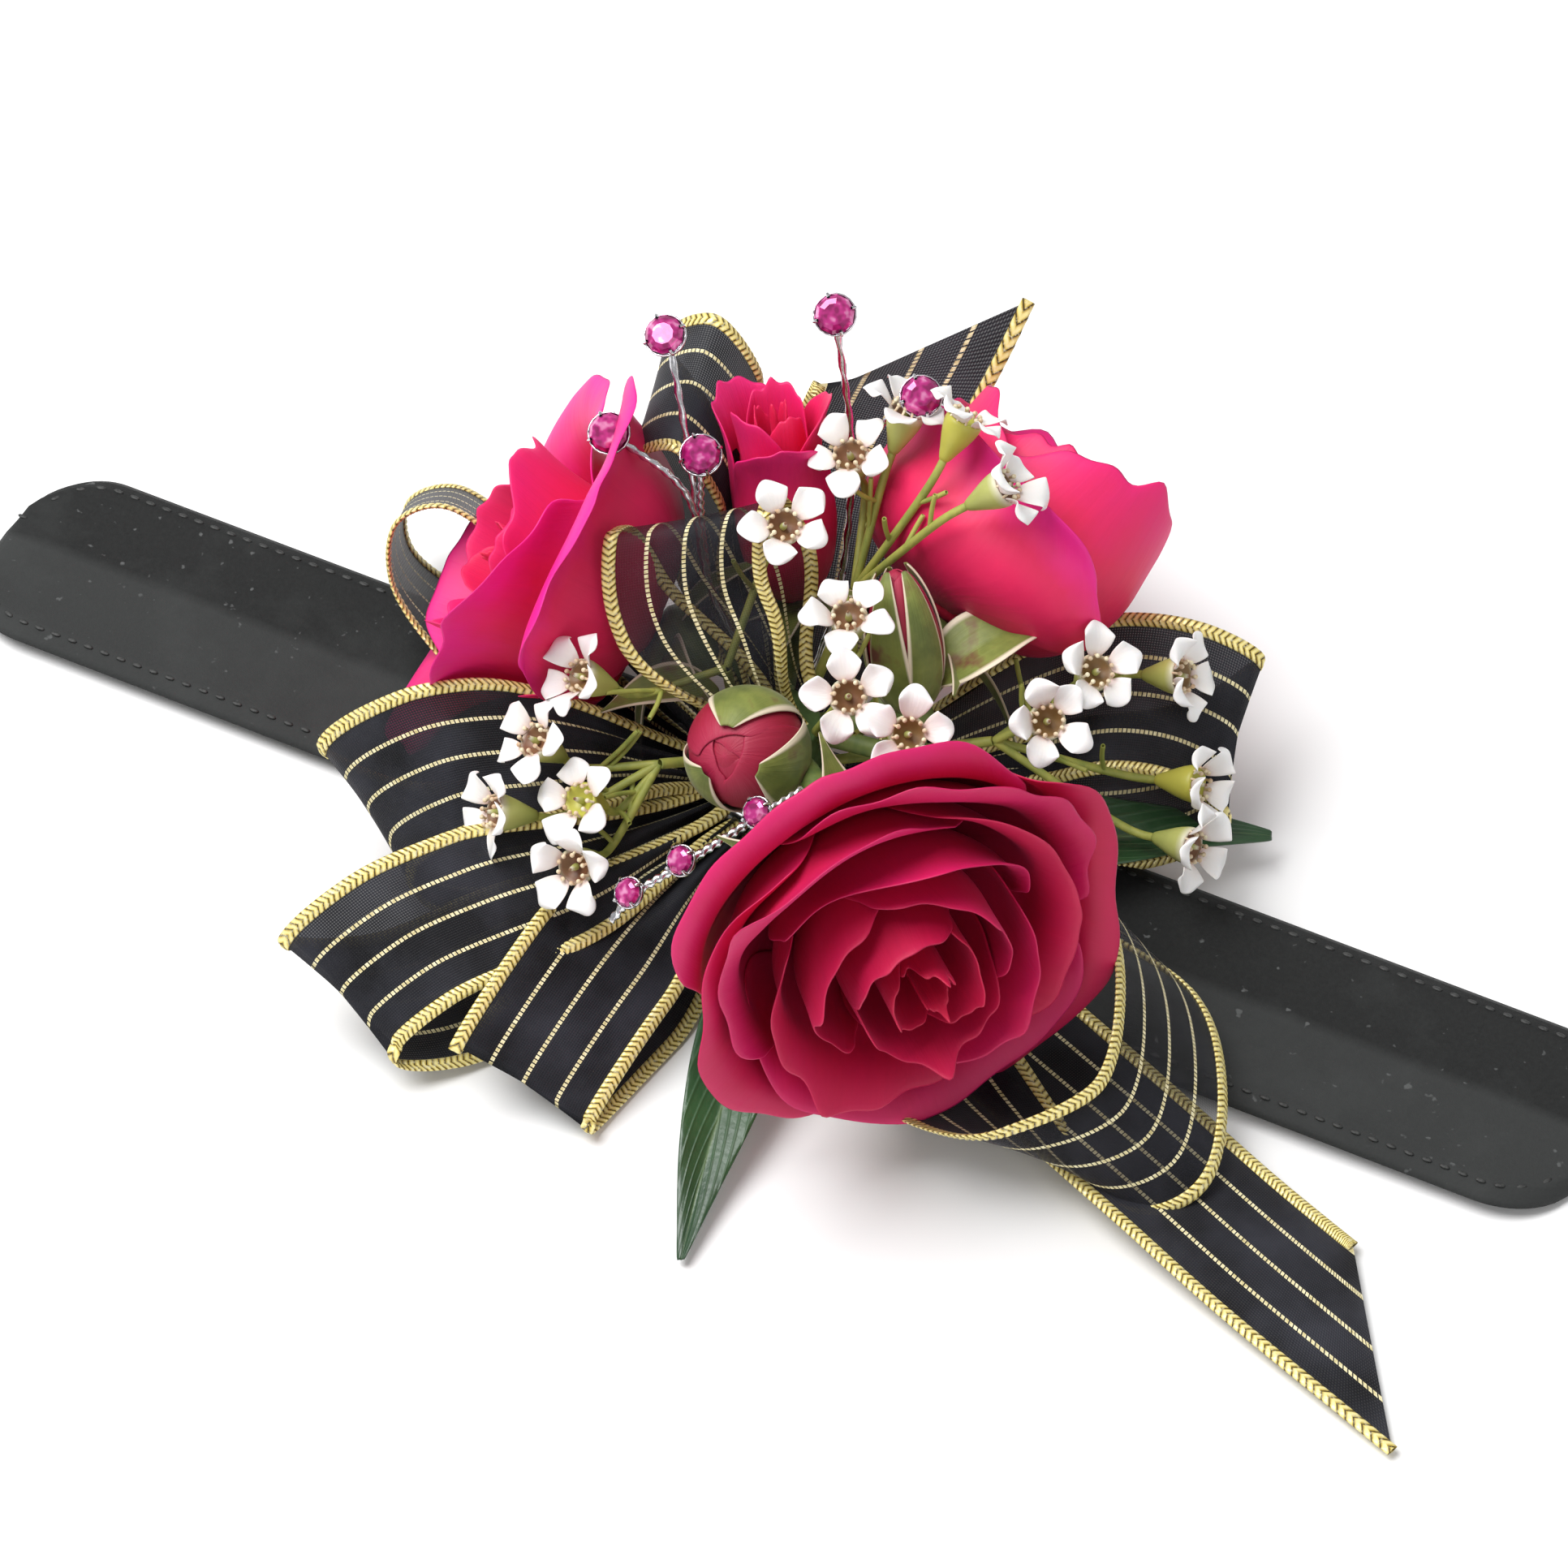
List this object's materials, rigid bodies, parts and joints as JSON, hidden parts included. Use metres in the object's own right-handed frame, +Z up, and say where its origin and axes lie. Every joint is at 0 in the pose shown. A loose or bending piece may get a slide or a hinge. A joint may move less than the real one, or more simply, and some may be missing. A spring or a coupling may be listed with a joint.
{
  "type": "wrist corsage",
  "caption": "Wrist corsage: magenta roses, waxflower, gems and a looped gold-striped organza bow on a slap band whose ends curl round the wrist.",
  "frame": {"origin": "middle of the band's underside, where it meets the wrist", "axes": "+X along the band to the end that lies outside when it is closed, +Z up through the flowers, +Y across the band"},
  "size_m": [0.2274, 0.1238, 0.0679],
  "materials": {
    "band_sleeve": "soft napped black sleeve with a sewn edge",
    "spring_steel": "sprung steel strip and wire",
    "felt": "black felt",
    "stem_tape": "woody stems bound in green floral tape",
    "rose_petal": null,
    "green_sepal": null,
    "waxflower": null,
    "leaf": null,
    "organza": "sheer black organza with gold stripes and corded edges",
    "silver_wire": "bright silver wire and cups",
    "gem": "pink faceted stone with a foiled back"
  },
  "bodies": {
    "centre": {"sleeve_centre": "band_sleeve", "spring_strip_centre": "spring_steel", "felt_pad": "felt", "taped_stem_core": "stem_tape", "bow_wire": "spring_steel", "rose_front_bloom": "rose_petal", "rose_left_bloom": "rose_petal", "rose_right_bloom": "rose_petal", "rose_back_bloom": "rose_petal", "rose_front_calyx": "green_sepal", "rose_left_calyx": "green_sepal", "rose_right_calyx": "green_sepal", "rose_back_calyx": "green_sepal", "bud_right": "rose_petal", "bud_front": "rose_petal", "spray_gem_1": "gem", "spray_gem_2": "gem", "spray_gem_3": "gem", "spray_gem_4": "gem", "spray_gem_5": "gem", "gem_spray_wire_left": "silver_wire", "gem_spray_wire_back": "silver_wire", "strand_gem_1": "gem", "strand_gem_2": "gem", "strand_gem_3": "gem", "gem_strand_wire": "silver_wire", "waxflower_sprig_back": "waxflower", "waxflower_sprig_centre": "waxflower", "waxflower_sprig_right": "waxflower", "waxflower_sprig_left": "waxflower", "waxflower_sprig_top": "waxflower", "leaf_front": "leaf", "leaf_right": "leaf", "ribbon_loop_top": "organza", "ribbon_loop_back": "organza", "ribbon_loop_far_left": "organza", "ribbon_loop_left": "organza", "ribbon_loop_low_left": "organza", "ribbon_loop_low_front": "organza", "ribbon_loop_right": "organza", "ribbon_loop_front_right": "organza", "ribbon_tail_front_right": "organza", "ribbon_tail_back": "organza"},
    "left_1": {"sleeve_left_1": "band_sleeve", "spring_strip_left_1": "spring_steel"},
    "left_2": {"sleeve_left_2": "band_sleeve", "spring_strip_left_2": "spring_steel"},
    "left_3": {"sleeve_left_3": "band_sleeve", "spring_strip_left_3": "spring_steel"},
    "left_4": {"sleeve_left_4": "band_sleeve", "spring_strip_left_4": "spring_steel"},
    "right_1": {"sleeve_right_1": "band_sleeve", "spring_strip_right_1": "spring_steel"},
    "right_2": {"sleeve_right_2": "band_sleeve", "spring_strip_right_2": "spring_steel"},
    "right_3": {"sleeve_right_3": "band_sleeve", "spring_strip_right_3": "spring_steel"},
    "right_4": {"sleeve_right_4": "band_sleeve", "spring_strip_right_4": "spring_steel"}
  },
  "joints": [
    {"name": "curl_left_1", "type": "hinge", "parent": "centre", "child": "left_1", "pos_m": [-0.024, 0, 0.0005], "axis": [0, -1, 0], "range_deg": [0, 60]},
    {"name": "curl_left_2", "type": "hinge", "parent": "left_1", "child": "left_2", "pos_m": [-0.0465, 0, 0.0005], "axis": [0, -1, 0], "range_deg": [0, 50]},
    {"name": "curl_left_3", "type": "hinge", "parent": "left_2", "child": "left_3", "pos_m": [-0.069, 0, 0.0005], "axis": [0, -1, 0], "range_deg": [0, 50]},
    {"name": "curl_left_4", "type": "hinge", "parent": "left_3", "child": "left_4", "pos_m": [-0.0915, 0, 0.0005], "axis": [0, -1, 0], "range_deg": [0, 40]},
    {"name": "curl_right_1", "type": "hinge", "parent": "centre", "child": "right_1", "pos_m": [0.024, 0, 0.0005], "axis": [0, 1, 0], "range_deg": [0, 50]},
    {"name": "curl_right_2", "type": "hinge", "parent": "right_1", "child": "right_2", "pos_m": [0.0465, 0, 0.0005], "axis": [0, 1, 0], "range_deg": [0, 40]},
    {"name": "curl_right_3", "type": "hinge", "parent": "right_2", "child": "right_3", "pos_m": [0.069, 0, 0.0005], "axis": [0, 1, 0], "range_deg": [0, 45]},
    {"name": "curl_right_4", "type": "hinge", "parent": "right_3", "child": "right_4", "pos_m": [0.0915, 0, 0.0005], "axis": [0, 1, 0], "range_deg": [0, 45]}
  ],
  "couplings": [
    {"joint": "curl_left_2", "follows": "curl_left_1", "ratio": 0.83333},
    {"joint": "curl_left_3", "follows": "curl_left_1", "ratio": 0.83333},
    {"joint": "curl_left_4", "follows": "curl_left_1", "ratio": 0.66667},
    {"joint": "curl_right_2", "follows": "curl_right_1", "ratio": 0.8},
    {"joint": "curl_right_3", "follows": "curl_right_1", "ratio": 0.9},
    {"joint": "curl_right_4", "follows": "curl_right_1", "ratio": 0.9}
  ]
}
